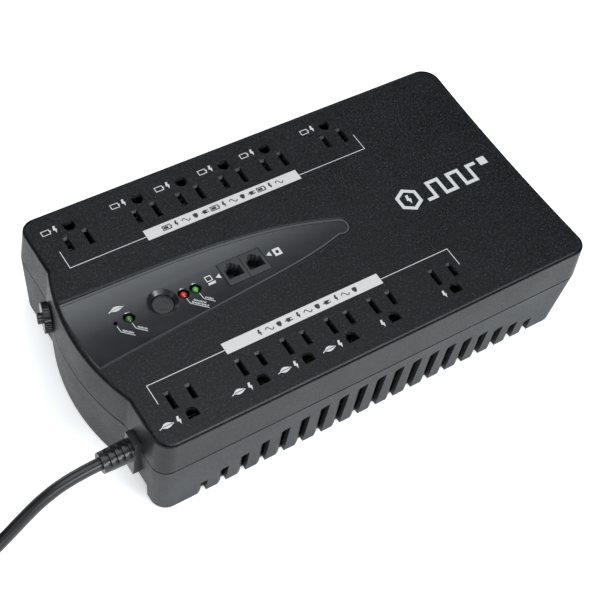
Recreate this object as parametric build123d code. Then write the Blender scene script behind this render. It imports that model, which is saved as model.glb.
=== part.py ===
from build123d import *
import math
import os

# Desktop uninterruptible power supply with twelve outlets on its top.
# Millimetres. X runs along the length with the mains cord at -X, Y across the width
# with the surge-only outlets at -Y, and Z is up from the floor under the rubber feet.

# ---- case ----
TOP_Z = 74.0
SEAM_Z = 48.5
BASE_Z = 2.0
LEFT_X = -146.5
RIGHT_X = 157.5
HALF_W = 87.2
SKIN = 2.5
WALL = 3.0
FLOOR = 2.5
FLOOR_Z = BASE_Z + FLOOR
TOP_INSET = 1.3
BASE_INSET_X = 3.2
BASE_INSET_Y = 1.6
BULGE = 9.2
BULGE_R = 130.0
BULGE_Y = -1.0
KINK_R = 6.0
END_DISH = 2.4
LEDGE = 1.2
LEDGE_STEP = 0.8
GROOVE_H = 1.1
GROOVE_D = 1.7
RIM_R = 1.2
CROWN_BEVEL = 0.75
RIM_GROOVE_IN = 0.55
RIM_GROOVE_D = 0.9

# ---- side louvres ----
LOUVRES = 19
LOUVRE_PITCH = 13.41
LOUVRE_X0 = -112.2
LOUVRE_W = 8.7
LOUVRE_SLOT = 2.7
SCOOP_D = 2.5
SCOOP_H = 5.4
ARCH_X = 9.7
ARCH_R = 325.0
ARCH_Z = 38.4

# ---- outlets (NEMA 5-15 spacing) ----
OUTLET_X = [-118.8, -73.8, -43.8, -13.8, 16.2, 61.2]
BLADE_Y = 59.7
BLADE_HALF = 6.35
GROUND_OFF = 11.89
HOT_SLOT = (2.3, 7.8)
NEUTRAL_SLOT = (2.3, 9.4)
GROUND_R = 3.1
GROUND_FLAT = 2.5
LIP_X, LIP_Y = 0.6, 1.3
LIP_GROUND = 0.5
LIP_DEPTH = 1.3
LEAF_TOP_Z = 65.0
HOUSING_X0, HOUSING_X1 = -130.5, 76.0
HOUSING_Y0, HOUSING_Y1 = 49.6, 81.0
HOUSING_Z0, HOUSING_Z1 = 50.0, 71.5

# ---- labels ----
LABEL_X0, LABEL_X1 = -82.8, 24.3
LABEL_Y = 44.8
LABEL_W = 7.7
LABEL_T = 0.4
LABEL_PROUD = 0.1

# ---- control panel ----
TROUGH_R = 230.0
TIP_X = 31.0
TIP_DEPTH = 0.6
PANEL_SLOPE = 0.0135
PANEL_GAP = 0.3
BEAD_W = 1.3
BEAD_H = 0.45
PANEL_UNDER = 68.8
TIP_UNDER = 70.2
TIP_STEP_X = -4.0
FLANGE = 3.0
BUTTON_X = -96.3
BUTTON_R = 6.4
BEZEL_BORE = 6.9
BEZEL_R = 9.6
RED_X = -82.8
GREEN_X = -75.0
ECO_X = -118.2
PIN_X = -126.8
LAMP_HOLE_R = 3.3
LAMP_LIP = 0.4
LAMP_R = 2.55
PIN_R = 1.25
JACK_X = -42.1
JACK_L, JACK_W = 28.4, 16.4
JACK_PITCH = 14.4
JACK_GAP = 0.35
PORT_L, PORT_W = 10.4, 7.0
BOARD_Z = 58.8
BOARD_T = 1.6
BOARD_POSTS = [(x, s * 13.0) for x in (-128.5, -69.0, -24.0) for s in (-1, 1)]

# ---- breaker ----
BREAKER_Y = 34.0
BREAKER_Z = 50.0
BREAKER_TILT = 15.6
BREAKER_WALL_X = -150.9
BREAKER_TIP_X = -158.6
BUSH_R = 5.0
NUT_R = 9.3
NUT_T = 4.4
KNURLS = 34
KNURL_R = 0.55
KNURL_IN = 0.25
NUT_SEAT = -0.2
SHOULDER_SEAT = -2.8

# ---- strain relief and cord ----
RELIEF_Y = -60.5
RELIEF_Z = 42.0
PLATE_IN_X = -143.5
PLATE_OUT_X = -150.0
PLATE_Z0, PLATE_Z1 = 22.0, 53.5
PLATE_W = 11.5
RELIEF_END_X = -168.0
RELIEF_R0, RELIEF_R1 = 6.9, 6.3
CORD_D = 7.5
CORD_R = CORD_D / 2
COIL_X, COIL_Y = -288.0, -16.0
COIL_IN, COIL_OUT = 30.5, 53.0
COIL_TOP_OUT = COIL_OUT - CORD_D
TIE_T = 0.6
LAYER_Z = [TIE_T + CORD_R, TIE_T + 3 * CORD_R]
NOTCH_Y0, NOTCH_Y1 = -72.0, -46.0
NOTCH_Z = 14.0
CORD_POINTS = [
    (-163.0, RELIEF_Y, RELIEF_Z),
    (-184.0, RELIEF_Y, RELIEF_Z),
    (-204.5, -61.2, 33.5),
    (-221.5, -63.0, 19.5),
    (-239.5, -65.8, 7.8),
    (-259.0, -68.2, 4.2),
    (-277.0, COIL_Y - COIL_OUT, LAYER_Z[0]),
]
TAIL_POINTS = [
    (COIL_X - COIL_TOP_OUT, COIL_Y + 4, LAYER_Z[1]),
    (COIL_X - COIL_TOP_OUT - 0.9, COIL_Y + 16, LAYER_Z[1]),
    (COIL_X - COIL_TOP_OUT - 3.2, COIL_Y + 29, LAYER_Z[1]),
    (COIL_X - COIL_TOP_OUT - 6.2, COIL_Y + 41, LAYER_Z[1]),
]
PLUG_TURN = math.degrees(math.atan2(3.0, 12))

# ---- battery and transformer ----
BATTERY = (151.0, 94.0, 65.0)
BATTERY_X = -3.0
BATTERY_Z = 4.5
NEG_X, POS_X = 6.0, 138.0
CORE = (57.0, 66.0, 47.5)
CORE_X = -39.0
CORE_Z = 6.2
DOOR_HALF = 41.0
DOOR_LIP_HALF = 38.5
DOOR_X0, DOOR_X1 = -1.0, 151.0
DOOR_GAP = 0.3
DOOR_T_LOW = 1.2
DOOR_T = 2.2

# ---- power board ----
PCB_X0, PCB_X1 = -139.0, -71.0
PCB_HALF = 72.0
PCB_Z = 12.0
PCB_T = 1.6
FUSE_X, FUSE_Y = -100.5, 62.0
MAINS_Y = [-58.0, -51.0, -44.0]

SCREW_XY = [(x, s * 78.5) for x in (-136.5, 82.5, 143.5) for s in (-1, 1)]
FOOT_XY = [(x, s * 70.0) for x in (-118.0, 128.0) for s in (-1, 1)]
FOOT_R = 7.0
HEAD_SEAT_Z = 38.0


def save(shape, node):
    export_step(shape, f"parts/{node}.step")


def box(x0, x1, y0, y1, z0, z1):
    """A box between two opposite corners."""
    size = Box(x1 - x0, y1 - y0, z1 - z0)
    return Pos((x0 + x1) / 2, (y0 + y1) / 2, (z0 + z1) / 2) * size


def post(x, y, z0, z1, radius):
    """An upright cylinder."""
    return Pos(x, y, (z0 + z1) / 2) * Cylinder(radius, z1 - z0)


def rod_x(x0, x1, y, z, radius):
    """A cylinder along X."""
    return Pos((x0 + x1) / 2, y, z) * Rot(0, 90, 0) * Cylinder(radius, abs(x1 - x0))


def rod_y(x, y0, y1, z, radius):
    """A cylinder along Y."""
    return Pos(x, (y0 + y1) / 2, z) * Rot(90, 0, 0) * Cylinder(radius, abs(y1 - y0))


def join(solids):
    """One shape from a list of solids that touch or overlap."""
    first, *rest = solids
    return first.fuse(*rest).clean() if rest else first


def group(solids):
    """Separate solids kept apart in one node."""
    return Compound(children=list(solids))


def corner(face, x, y):
    """The vertex of a face nearest to a point."""
    return min(face.vertices(), key=lambda v: math.hypot(v.X - x, v.Y - y))


def plan(in_x=0.0, in_y=None):
    """The case outline: a rounded oblong, bowed out at the cord end and dished at the other."""
    in_y = in_x if in_y is None else in_y
    left, right, half = LEFT_X + in_x, RIGHT_X - in_x, HALF_W - in_y
    bow_r = BULGE_R - in_x
    chord = math.sqrt(bow_r**2 - (bow_r - BULGE) ** 2)
    far_kink, near_kink = BULGE_Y + chord, BULGE_Y - chord
    edges = [
        Line((left, -half), (right, -half)),
        ThreePointArc((right, -half), (right - END_DISH, 0), (right, half)),
        Line((right, half), (left, half)),
        Line((left, half), (left, far_kink)),
        ThreePointArc((left, far_kink), (left - BULGE, BULGE_Y), (left, near_kink)),
        Line((left, near_kink), (left, -half)),
    ]
    face = make_face(edges)
    for x, y, radius in (
        (left, -half, 9.5),
        (left, half, 9.5),
        (right, -half, 10.0),
        (right, half, 11.5),
        (left, far_kink, KINK_R),
        (left, near_kink, KINK_R),
    ):
        face = fillet(corner(face, x, y), radius)
    return face


def slab(low, high, z0, z1):
    """A drafted solid between two outlines."""
    return loft([Pos(0, 0, z0) * low, Pos(0, 0, z1) * high], ruled=True)


def leaf(grow=0.0):
    """The tongue-shaped outline of the control panel, from the bowed rim to its tip."""
    tip = TIP_X + grow
    far = Spline(
        (-151.0, 24.8 + grow),
        (-85.0, 22.8 + grow),
        (-34.0, 19.0 + grow),
        (4.4, 11.7 + grow),
        (25.4, 4.9 + grow),
    )
    nose = ThreePointArc((25.4, 4.9 + grow), (tip, -0.8), (21.6, -6.6 - grow))
    near = Spline(
        (21.6, -6.6 - grow),
        (4.4, -10.5 - grow),
        (-33.0, -14.9 - grow),
        (-83.0, -18.8 - grow),
        (-151.0, -24.4 - grow),
    )
    back = Line((-151.0, -24.4 - grow), (-151.0, 24.8 + grow))
    outline = make_face([far, nose, near, back])
    rim = plan(TOP_INSET + 2.4 - grow)
    return outline & rim


def panel_z(x):
    """Height of the bottom of the control panel's trough."""
    return TOP_Z - TIP_DEPTH - PANEL_SLOPE * (TIP_X - x)


# ---- outlets ----
def funnel(low_face, high_face):
    """A cutter down through the top face whose mouth widens from one outline to the other."""
    straight = extrude(Pos(0, 0, TOP_Z - 8) * low_face, 8)
    mouth = loft([Pos(0, 0, TOP_Z - LIP_DEPTH) * low_face, Pos(0, 0, TOP_Z) * high_face], ruled=True)
    return [straight, mouth]


def slot_cut(x, y, width, length):
    low = Pos(x, y) * Rectangle(width, length)
    return funnel(low, Pos(x, y) * Rectangle(width + 2 * LIP_X, length + 2 * LIP_Y))


def ground_face(x, y, side, grow=0.0):
    """A D-shaped ground hole: flat away from the blades, round towards them."""
    r = GROUND_R + grow
    flat = y + side * (GROUND_FLAT + grow)
    return make_face([
        Line((x - r, flat), (x + r, flat)),
        Line((x + r, flat), (x + r, y)),
        ThreePointArc((x + r, y), (x, y - side * r), (x - r, y)),
        Line((x - r, y), (x - r, flat)),
    ])


def outlet_cuts():
    """Cutters for the slots and ground holes of all twelve outlets."""
    cuts = []
    for side in (-1, 1):
        ground_y = side * (BLADE_Y + GROUND_OFF)
        for x in OUTLET_X:
            cuts += slot_cut(x - side * BLADE_HALF, side * BLADE_Y, *HOT_SLOT)
            cuts += slot_cut(x + side * BLADE_HALF, side * BLADE_Y, *NEUTRAL_SLOT)
            cuts += funnel(ground_face(x, ground_y, side), ground_face(x, ground_y, side, LIP_GROUND))
    return cuts


def outlet_housing(side):
    """The open-topped insulating tray that holds one row's contacts."""
    y0, y1 = sorted((side * HOUSING_Y0, side * HOUSING_Y1))
    shell = box(HOUSING_X0, HOUSING_X1, y0, y1, HOUSING_Z0, HOUSING_Z1)
    shell -= box(HOUSING_X0 + 1.5, HOUSING_X1 - 1.5, y0 + 1.4, y1 - 1.4, HOUSING_Z0 + 2, TOP_Z)
    rib_y = side * (BLADE_Y + 8.0)
    rib = box(HOUSING_X0, HOUSING_X1, rib_y - 0.5, rib_y + 0.5, HOUSING_Z0, HOUSING_Z0 + 12)
    return join([shell, rib])


def blade_bus(side, bar_off, sense, reach):
    """A strip along the row with a pair of spring leaves at each blade slot."""
    bar_y = side * (BLADE_Y + bar_off)
    z0, z1 = HOUSING_Z0 + 2, HOUSING_Z0 + 9
    solids = [box(HOUSING_X0 + 4, HOUSING_X1 - 4, bar_y - 0.4, bar_y + 0.4, z0, z1)]
    tip_y = side * (BLADE_Y + reach)
    y0, y1 = sorted((bar_y, tip_y))
    for x in OUTLET_X:
        slot_x = x - side * sense * BLADE_HALF
        for leaf_x in (slot_x - 1.15, slot_x + 1.15):
            solids.append(box(leaf_x - 0.3, leaf_x + 0.3, y0, y1, z0, LEAF_TOP_Z))
    return join(solids)


def ground_bus(side):
    """A strip along the row with a fork at each ground hole."""
    bar_y = side * (BLADE_Y + GROUND_OFF + 6.2)
    tip_y = side * (BLADE_Y + GROUND_OFF - 2.2)
    z0, z1 = HOUSING_Z0 + 2, HOUSING_Z0 + 9
    solids = [box(HOUSING_X0 + 4, HOUSING_X1 - 4, bar_y - 0.4, bar_y + 0.4, z0, z1)]
    y0, y1 = sorted((bar_y, tip_y))
    for x in OUTLET_X:
        for leaf_x in (x - 2.7, x + 2.7):
            solids.append(box(leaf_x - 0.3, leaf_x + 0.3, y0, y1, z0, LEAF_TOP_Z))
    return join(solids)


# ---- case shells ----
def label_pocket(side, grow=0.0):
    y = side * LABEL_Y
    half = LABEL_W / 2 + grow
    z0 = TOP_Z + LABEL_PROUD - LABEL_T
    return box(LABEL_X0 - grow, LABEL_X1 + grow, y - half, y + half, z0, TOP_Z + 1)


def label(side):
    return label_pocket(side) & box(-200, 200, -90, 90, 60, TOP_Z + LABEL_PROUD)


def breaker_place():
    """Where the breaker's axis meets the wall, with local +Z pointing out of the case."""
    return Pos(BREAKER_WALL_X, BREAKER_Y, BREAKER_Z) * Rot(0, 0, -BREAKER_TILT) * Rot(0, -90, 0)


def breaker_cuts():
    """A clear hole for the bush, with a flat seat on each side of the wall."""
    hole = Cylinder(BUSH_R + 0.2, 24)
    outer_seat = Pos(0, 0, NUT_SEAT + 3) * Cylinder(NUT_R + 0.2, 6)
    inner_seat = Pos(0, 0, SHOULDER_SEAT - 3) * Cylinder(7.1, 6)
    return [breaker_place() * cut for cut in (hole, outer_seat, inner_seat)]


def top_cover():
    ledge_z = TOP_Z - LEDGE_STEP
    skirt = slab(plan(), plan(TOP_INSET), SEAM_Z, ledge_z)
    edge = skirt.faces().sort_by(Axis.Z)[-1].outer_wire().edges()
    skirt = fillet(edge, 0.45)
    crown = extrude(Pos(0, 0, ledge_z - 1) * plan(TOP_INSET + LEDGE), LEDGE_STEP + 1)
    crown = chamfer(crown.faces().sort_by(Axis.Z)[-1].outer_wire().edges(), CROWN_BEVEL)
    groove = extrude(Pos(0, 0, ledge_z - RIM_GROOVE_D) * plan(TOP_INSET + RIM_GROOVE_IN), RIM_GROOVE_D)
    groove -= extrude(Pos(0, 0, ledge_z - RIM_GROOVE_D) * plan(TOP_INSET + LEDGE), RIM_GROOVE_D)
    shell = skirt + crown
    shell -= slab(plan(SKIN), plan(SKIN + TOP_INSET), SEAM_Z, TOP_Z - SKIN)
    bosses = [post(x, y, SEAM_Z, TOP_Z - 1, 3.6) for x, y in SCREW_XY]
    shell = join([shell, *bosses])
    opening = extrude(Pos(0, 0, SEAM_Z + 10) * leaf(), 40)
    cuts = [*outlet_cuts(), groove, opening, *breaker_cuts(), label_pocket(-1), label_pocket(1)]
    cuts += [post(x, y, SEAM_Z - 1, SEAM_Z + 14, 1.5) for x, y in SCREW_XY]
    shell = shell.cut(*cuts)
    rim = [
        e
        for e in shell.edges().filter_by_position(Axis.Z, TOP_Z - 0.01, TOP_Z + 0.01)
        if -149 < e.center().X < 32 and abs(e.center().Y) < 26 and e.length > 20
    ]
    return fillet(rim, RIM_R)


def louvre_top(x):
    """Height of the arch that the louvres stop at."""
    return ARCH_Z - (ARCH_R - math.sqrt(ARCH_R**2 - (x - ARCH_X) ** 2))


def louvre_cut(i, side):
    """One louvre: a slot through the wall with a rounded scoop leading into it from its left."""
    x1 = LOUVRE_X0 + i * LOUVRE_PITCH
    top = louvre_top(x1)
    outer, inner = side * (HALF_W + 1), side * (HALF_W - BASE_INSET_Y - WALL)
    flush_y = side * (HALF_W - BASE_INSET_Y * 0.6)
    ramp_x, slot_x = x1 - LOUVRE_W, x1 - LOUVRE_SLOT
    bend = ((ramp_x + slot_x) / 2, flush_y - side * SCOOP_D * 0.27)
    scoop_end = (slot_x, flush_y - side * SCOOP_D)
    face = make_face([
        Line((ramp_x - 0.6, outer), (x1, outer)),
        Line((x1, outer), (x1, inner)),
        Line((x1, inner), (slot_x, inner)),
        Line((slot_x, inner), scoop_end),
        ThreePointArc(scoop_end, bend, (ramp_x, flush_y)),
        Line((ramp_x, flush_y), (ramp_x - 0.6, outer)),
    ])
    drop = min(SCOOP_H, top * 0.75)
    arch_mid = (ramp_x + 0.25 * (slot_x - ramp_x), top - 0.38 * drop)
    window = make_face([
        Line((ramp_x - 0.8, 0), (x1 + 0.2, 0)),
        Line((x1 + 0.2, 0), (x1 + 0.2, top + 0.1)),
        Line((x1 + 0.2, top + 0.1), (slot_x, top)),
        ThreePointArc((slot_x, top), arch_mid, (ramp_x - 0.8, top - drop)),
        Line((ramp_x - 0.8, top - drop), (ramp_x - 0.8, 0)),
    ])
    middle = side * (HALF_W - 2)
    window = extrude(Plane.XZ.offset(-middle) * window, 6, both=True)
    return extrude(face, top) & window


def tray_ribs():
    """Bay walls, board stand-offs, transformer pads and screw bosses that stand on the floor."""
    half = BATTERY[1] / 2 + 0.4
    ribs = [box(BATTERY_X - 2.2, BATTERY_X - 0.5, -half - 1.6, half + 1.6, FLOOR_Z - 1, 24)]
    for side in (-1, 1):
        y0, y1 = sorted((side * half, side * (half + 1.6)))
        ribs.append(box(BATTERY_X - 2.2, 135, y0, y1, FLOOR_Z - 1, 24))
    for x in (PCB_X0 + 4, PCB_X1 - 4):
        for y in (-66, -22, 22, 66):
            ribs.append(post(x, y, FLOOR_Z - 1, PCB_Z, 3))
    for x, y in SCREW_XY:
        ribs.append(post(x, y, BASE_Z, SEAM_Z, 4.5))
    for y in (-24, 24):
        ribs.append(box(CORE_X - 26, CORE_X + 26, y - 6, y + 6, FLOOR_Z - 1, CORE_Z))
    return ribs


def bottom_tray():
    shell = slab(plan(BASE_INSET_X, BASE_INSET_Y), plan(), BASE_Z, SEAM_Z)
    shell -= slab(
        plan(BASE_INSET_X + WALL, BASE_INSET_Y + WALL), plan(WALL), FLOOR_Z, SEAM_Z
    )
    groove = extrude(Pos(0, 0, SEAM_Z - GROOVE_H) * plan(-1), GROOVE_H)
    groove -= extrude(Pos(0, 0, SEAM_Z - GROOVE_H) * plan(GROOVE_D), GROOVE_H)
    shell = join([shell, *tray_ribs()])
    cuts = [groove, *breaker_cuts()]
    for side in (-1, 1):
        cuts += [louvre_cut(i, side) for i in range(LOUVRES)]
    for x in (NEG_X, POS_X):
        cuts.append(box(x - 7, x + 7, BATTERY[1] / 2 + 0.2, 54, FLOOR_Z + 3, 30))
    cuts.append(box(-170, LEFT_X + 12, NOTCH_Y0, NOTCH_Y1, 0, NOTCH_Z))
    cuts.append(rod_x(-155, -138, RELIEF_Y, RELIEF_Z, 4.5))
    cuts += [post(x, y, PCB_Z - 6, PCB_Z + 1, 1.5) for x in (PCB_X0 + 4, PCB_X1 - 4) for y in (-66, 66)]
    cuts += [post(x, y, 0, BASE_Z + 0.8, FOOT_R + 0.1) for x, y in FOOT_XY]
    cuts += [post(x, y, 0, HEAD_SEAT_Z, 3.2) for x, y in SCREW_XY]
    cuts += [post(x, y, 0, 60, 1.6) for x, y in SCREW_XY]
    lip, wide = DOOR_LIP_HALF + DOOR_GAP, DOOR_HALF + DOOR_GAP
    low_top = BASE_Z + DOOR_T_LOW - 0.1
    cuts.append(box(DOOR_X0 - DOOR_GAP, 170, -lip, lip, 0, low_top + 0.1))
    cuts.append(box(DOOR_X0 - DOOR_GAP, 170, -wide, wide, low_top, BATTERY_Z + 0.1))
    return shell.cut(*cuts)


def battery_door():
    low = box(DOOR_X0, DOOR_X1, -DOOR_LIP_HALF, DOOR_LIP_HALF, BASE_Z, BASE_Z + DOOR_T_LOW + 0.2)
    high = box(
        DOOR_X0, DOOR_X1, -DOOR_HALF, DOOR_HALF, BASE_Z + DOOR_T_LOW + 0.2, BASE_Z + DOOR_T
    )
    grips = [box(132 + 4 * i, 134 + 4 * i, -15, 15, 0, BASE_Z + 0.9) for i in range(4)]
    return join([low, high]).cut(*grips)


def foot(x, y):
    pad = post(x, y, 0, BASE_Z + 0.8, FOOT_R)
    return chamfer(pad.edges().sort_by(Axis.Z)[0], 0.5)


def case_screw(x, y):
    head = post(x, y, HEAD_SEAT_Z - 2.4, HEAD_SEAT_Z, 3.0)
    shank = post(x, y, HEAD_SEAT_Z - 1, SEAM_Z + 12, 1.4)
    cross = [
        box(x - 1.7, x + 1.7, y - 0.4, y + 0.4, HEAD_SEAT_Z - 3, HEAD_SEAT_Z - 1.4),
        box(x - 0.4, x + 0.4, y - 1.7, y + 1.7, HEAD_SEAT_Z - 3, HEAD_SEAT_Z - 1.4),
    ]
    return join([head, shank]).cut(*cross)


# ---- control panel and what is behind it ----
def trough(lift=0.0):
    """The wide shallow cylinder that hollows the panel's face."""
    slope = math.degrees(math.atan(PANEL_SLOPE))
    low_z = panel_z(0) + TROUGH_R + lift
    return Pos(0, 0, low_z) * Rot(0, -slope, 0) * Rot(0, 90, 0) * Cylinder(TROUGH_R, 500)


def panel_body():
    """The tongue with its under-flange and its shallow trough."""
    tongue = extrude(Pos(0, 0, PANEL_UNDER) * leaf(-PANEL_GAP), TOP_Z - PANEL_UNDER)
    flange = extrude(Pos(0, 0, PANEL_UNDER) * leaf(FLANGE), TOP_Z - SKIN - PANEL_UNDER)
    flange &= extrude(Pos(0, 0, PANEL_UNDER) * plan(SKIN + TOP_INSET + 0.4), 10)
    body = tongue + flange
    body -= box(TIP_STEP_X, 60, -40, 40, PANEL_UNDER - 1, TIP_UNDER)
    return body - trough()


def panel_trim():
    """A thin band that lies on the panel's face all round its edge."""
    low_z = PANEL_UNDER + 1
    ring = extrude(Pos(0, 0, low_z) * leaf(-PANEL_GAP), TOP_Z - low_z)
    ring -= extrude(Pos(0, 0, low_z) * leaf(-PANEL_GAP - BEAD_W), TOP_Z - low_z)
    return (ring & trough()) - trough(BEAD_H)


def control_panel():
    posts = [post(x, y, BOARD_Z + BOARD_T, PANEL_UNDER + 0.5, 2.6) for x, y in BOARD_POSTS]
    cuts = [post(BUTTON_X, 0, 60, 80, BEZEL_R)]
    for x in (RED_X, GREEN_X, ECO_X):
        cuts.append(post(x, 0, 60, 80, LAMP_HOLE_R))
        lip = Cone(LAMP_HOLE_R, LAMP_HOLE_R + 2 * LAMP_LIP, 2 * LAMP_LIP)
        cuts.append(Pos(x, 0, panel_z(x)) * lip)
    cuts.append(post(PIN_X, 0, 60, 80, PIN_R))
    half_l, half_w = JACK_L / 2 + JACK_GAP, JACK_W / 2 + JACK_GAP
    cuts.append(box(JACK_X - half_l, JACK_X + half_l, -half_w, half_w, 60, 80))
    cuts += [post(x, y, BOARD_Z, BOARD_Z + 7, 1.1) for x, y in BOARD_POSTS]
    return join([panel_body(), *posts]).cut(*cuts)


def control_board():
    board = box(-133, -19, -16.5, 16.5, BOARD_Z, BOARD_Z + BOARD_T)
    return board.cut(*[post(x, y, BOARD_Z - 1, BOARD_Z + 3, 1.3) for x, y in BOARD_POSTS])


def board_screw(x, y):
    """A screw up through the control board into the panel."""
    head = post(x, y, BOARD_Z - 1.8, BOARD_Z, 2.3)
    return join([head, post(x, y, BOARD_Z - 1, BOARD_Z + 6.5, 1.0)])


def power_board_screw(x, y):
    """A screw down through the power board into the tray."""
    top = PCB_Z + PCB_T
    return join([post(x, y, top, top + 2, 2.8), post(x, y, top - 6, top + 1, 1.4)])


def button_bezel():
    """A countersunk ring pressed into the panel."""
    top = panel_z(BUTTON_X) + 0.25
    profile = make_face([
        Line((BEZEL_BORE, 66.8), (BEZEL_R, 66.8)),
        Line((BEZEL_R, 66.8), (BEZEL_R, top)),
        Line((BEZEL_R, top), (BEZEL_R - 0.4, top)),
        Line((BEZEL_R - 0.4, top), (BEZEL_BORE, top - 2.0)),
        Line((BEZEL_BORE, top - 2.0), (BEZEL_BORE, 66.8)),
    ])
    return Pos(BUTTON_X, 0, 0) * revolve(Plane.XZ * profile, Axis.Z)


def power_button():
    """A cap with a raised rim, a skirt, a retaining flange and a stem."""
    inner = BUTTON_R - 1.2
    cap = fillet(post(0, 0, 67.3, 69.7, BUTTON_R).edges().sort_by(Axis.Z)[-1], 0.3)
    skirt = post(0, 0, 65.4, 67.5, BUTTON_R) - post(0, 0, 65.0, 67.3, inner)
    flange = post(0, 0, 65.4, 66.5, 8.6) - post(0, 0, 65.0, 67.0, inner)
    stem = post(0, 0, 64.5, 67.5, 1.9)
    recess = post(0, 0, 69.1, 71, BUTTON_R - 0.7)
    return Pos(BUTTON_X, 0, 0) * (join([cap, skirt, flange, stem]) - recess)


def power_switch():
    """A round switch housing with a blind bore for the button's stem."""
    body = post(0, 0, BOARD_Z + BOARD_T, 65.3, 4.2) - post(0, 0, 61.8, 70, 2.2)
    return Pos(BUTTON_X, 0, 0) * body


def lamp(x):
    """A 5 mm lamp on the control board with its dome in the panel."""
    z0, top = BOARD_Z + BOARD_T, panel_z(x) - 0.2
    barrel = post(x, 0, z0 + 1, top - LAMP_R, LAMP_R)
    dome = Pos(x, 0, top - LAMP_R) * Sphere(LAMP_R)
    collar = post(x, 0, z0, z0 + 1, LAMP_R + 0.4)
    return join([barrel, dome, collar])


def eco_switch():
    z0 = BOARD_Z + BOARD_T
    body = box(PIN_X - 3, PIN_X + 3, -3, 3, z0, z0 + 4)
    return body - post(PIN_X, 0, z0 + 1.2, z0 + 9, 0.9)


def eco_plunger():
    z0 = BOARD_Z + BOARD_T
    return join([post(PIN_X, 0, z0 + 2.0, 68.0, 0.85), post(PIN_X, 0, z0 + 4.8, z0 + 5.6, 1.8)])


def port_face(x):
    """A modular port outline with the latch steps on its far side."""
    main = Pos(x, -0.6) * Rectangle(PORT_L, PORT_W)
    step = Pos(x, PORT_W / 2 + 0.2) * Rectangle(6.2, 2.4)
    key = Pos(x, PORT_W / 2 + 1.5) * Rectangle(3.4, 2.6)
    return main + step + key


def modular_jack():
    top = panel_z(JACK_X) + 0.35
    body = box(
        JACK_X - JACK_L / 2, JACK_X + JACK_L / 2, -JACK_W / 2, JACK_W / 2, BOARD_Z + BOARD_T, top
    )
    ports = [extrude(Pos(0, 0, top - 11.5) * port_face(JACK_X + s * JACK_PITCH / 2), 14)
             for s in (-1, 1)]
    seam = box(JACK_X - 0.25, JACK_X + 0.25, -9, 9, top - 0.5, top + 1)
    return body.cut(*ports, seam)


def jack_contacts():
    """Six slanted spring wires in each port, along its near side."""
    top = panel_z(JACK_X) + 0.35
    wires = []
    for s in (-1, 1):
        for i in range(6):
            x = JACK_X + s * JACK_PITCH / 2 + (i - 2.5) * 1.02
            wire = Pos(x, -3.15, top - 7.2) * Rot(-7, 0, 0) * Box(0.4, 0.4, 8.2)
            wires.append(wire)
    return group(wires)


# ---- circuit breaker ----
def breaker_body():
    """The breaker's case behind the wall and its threaded bush."""
    case = Pos(0, 0, -18) * Box(15, 15, 26)
    bush = Pos(0, 0, -0.6) * Cylinder(BUSH_R, 9.6)
    shoulder = Pos(0, 0, SHOULDER_SEAT - 1.2) * Cylinder(6.8, 2.4)
    tabs = [Pos(0, s * 4, -33.5) * Box(6.3, 0.8, 7) for s in (-1, 1)]
    bore = Cylinder(3.45, 24)
    return breaker_place() * join([case, bush, shoulder, *tabs]).cut(bore)


def breaker_nut():
    """A knurled plastic nut on the outside."""
    ring = Cylinder(NUT_R, NUT_T)
    ring = chamfer(ring.edges(), 0.5)
    cuts = [Cylinder(BUSH_R + 0.1, 10)]
    for i in range(KNURLS):
        turn = Rot(0, 0, i * 360 / KNURLS)
        cuts.append(turn * Pos(NUT_R - KNURL_IN, 0, 0) * Cylinder(KNURL_R, 10))
        cuts.append(turn * Pos(NUT_R + 0.5, 0, 0) * Box(1.5, 2 * KNURL_R, 10))
    return breaker_place() * Pos(0, 0, NUT_SEAT + NUT_T / 2) * ring.cut(*cuts)


def breaker_button():
    """The push-to-reset button with its rounded end."""
    radius, rounding = 3.4, 0.6
    tilt = math.radians(BREAKER_TILT)
    reach = BREAKER_WALL_X - BREAKER_TIP_X - rounding - (radius - rounding) * math.sin(tilt)
    out = reach / math.cos(tilt) + rounding
    pin = Pos(0, 0, (out - 9) / 2) * Cylinder(radius, out + 9)
    pin = fillet(pin.edges().sort_by(Axis.Z)[-1], rounding)
    return breaker_place() * pin


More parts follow.
